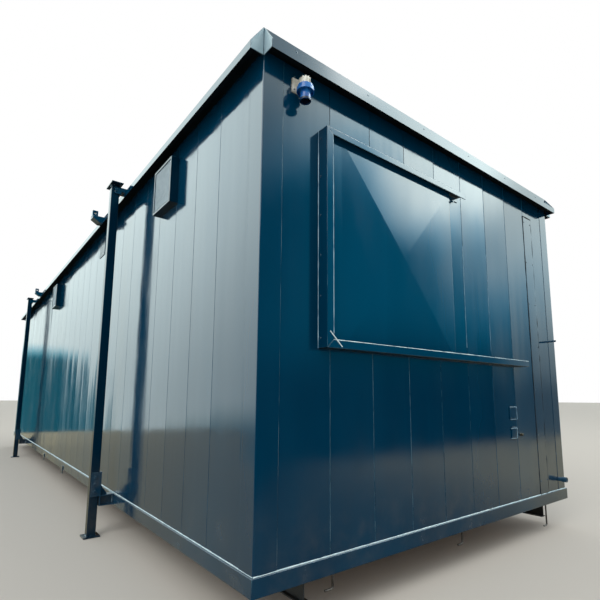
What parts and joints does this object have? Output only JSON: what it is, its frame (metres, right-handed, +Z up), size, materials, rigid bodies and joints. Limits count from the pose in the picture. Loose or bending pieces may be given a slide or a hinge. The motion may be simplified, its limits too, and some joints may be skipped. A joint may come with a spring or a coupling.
{
  "type": "portable site cabin",
  "caption": "Long flat-roofed steel site cabin on jack legs at its sides, with a sliding shutter over the end window, vent boxes, drain pipes and lifting eyes.",
  "frame": {"origin": "on the ground, at the middle of all that the cabin and its legs cover", "axes": "+X along the cabin towards the shuttered end, +Y away from the long side with the vents, +Z up"},
  "size_m": [9.914, 3.442, 2.843],
  "materials": {
    "body_paint": "gloss",
    "chassis_paint": "satin",
    "floor_timber": "matte",
    "roof_skin": "matte",
    "window_plastic": "gloss",
    "window_pane": "gloss",
    "bright_metal": "satin",
    "inlet_shell": "satin",
    "inlet_socket_plastic": "satin",
    "pipe_plastic": "satin",
    "tap_brass": "satin",
    "dark_steel": "matte"
  },
  "bodies": {
    "cabin": {"left_rail": "body_paint", "right_rail": "body_paint", "front_rail": "body_paint", "rear_rail": "body_paint", "chassis_beams": "chassis_paint", "floor_joists": "floor_timber", "floor_deck": "floor_timber", "corner_posts": "body_paint", "front_wall": "body_paint", "rear_wall": "body_paint", "left_wall": "body_paint", "right_wall": "body_paint", "cover_strip": "body_paint", "left_fascia": "body_paint", "right_fascia": "body_paint", "front_fascia": "body_paint", "rear_fascia": "body_paint", "roof_deck": "roof_skin", "window_frame": "window_plastic", "window_glass": "window_pane", "shutter_post": "body_paint", "shutter_bottom_rail": "body_paint", "shutter_top_rail": "body_paint", "door_frame": "body_paint", "door_leaf": "body_paint", "door_handle": "bright_metal", "power_inlet": "inlet_shell", "inlet_socket": "inlet_socket_plastic", "vent_boxes": "body_paint", "vent_sheets": "body_paint", "wall_grille": "body_paint", "drain_pipes": "pipe_plastic", "service_plates": "body_paint", "tap_stub": "tap_brass", "hook_bolts": "dark_steel", "rail_brackets": "dark_steel", "base_brackets": "body_paint", "top_brackets": "body_paint", "lifting_lugs": "body_paint"},
    "shutter": {"shutter_panel": "body_paint", "shutter_handle": "body_paint"},
    "jack_leg_front_left": {"jack_leg_front_left": "body_paint"},
    "jack_leg_front_right": {"jack_leg_front_right": "body_paint"},
    "jack_leg_rear_left": {"jack_leg_rear_left": "body_paint"},
    "jack_leg_rear_right": {"jack_leg_rear_right": "body_paint"}
  },
  "joints": [
    {"name": "leg_front_left_slide", "type": "slide", "parent": "cabin", "child": "jack_leg_front_left", "axis": [0, 0, 1], "range_m": [0, 0.2]},
    {"name": "leg_front_right_slide", "type": "slide", "parent": "cabin", "child": "jack_leg_front_right", "axis": [0, 0, 1], "range_m": [0, 0.2]},
    {"name": "leg_rear_left_slide", "type": "slide", "parent": "cabin", "child": "jack_leg_rear_left", "axis": [0, 0, 1], "range_m": [0, 0.2]},
    {"name": "leg_rear_right_slide", "type": "slide", "parent": "cabin", "child": "jack_leg_rear_right", "axis": [0, 0, 1], "range_m": [0, 0.2]},
    {"name": "shutter_slide", "type": "slide", "parent": "cabin", "child": "shutter", "axis": [0, 1, 0], "range_m": [0, 0.9]}
  ]
}
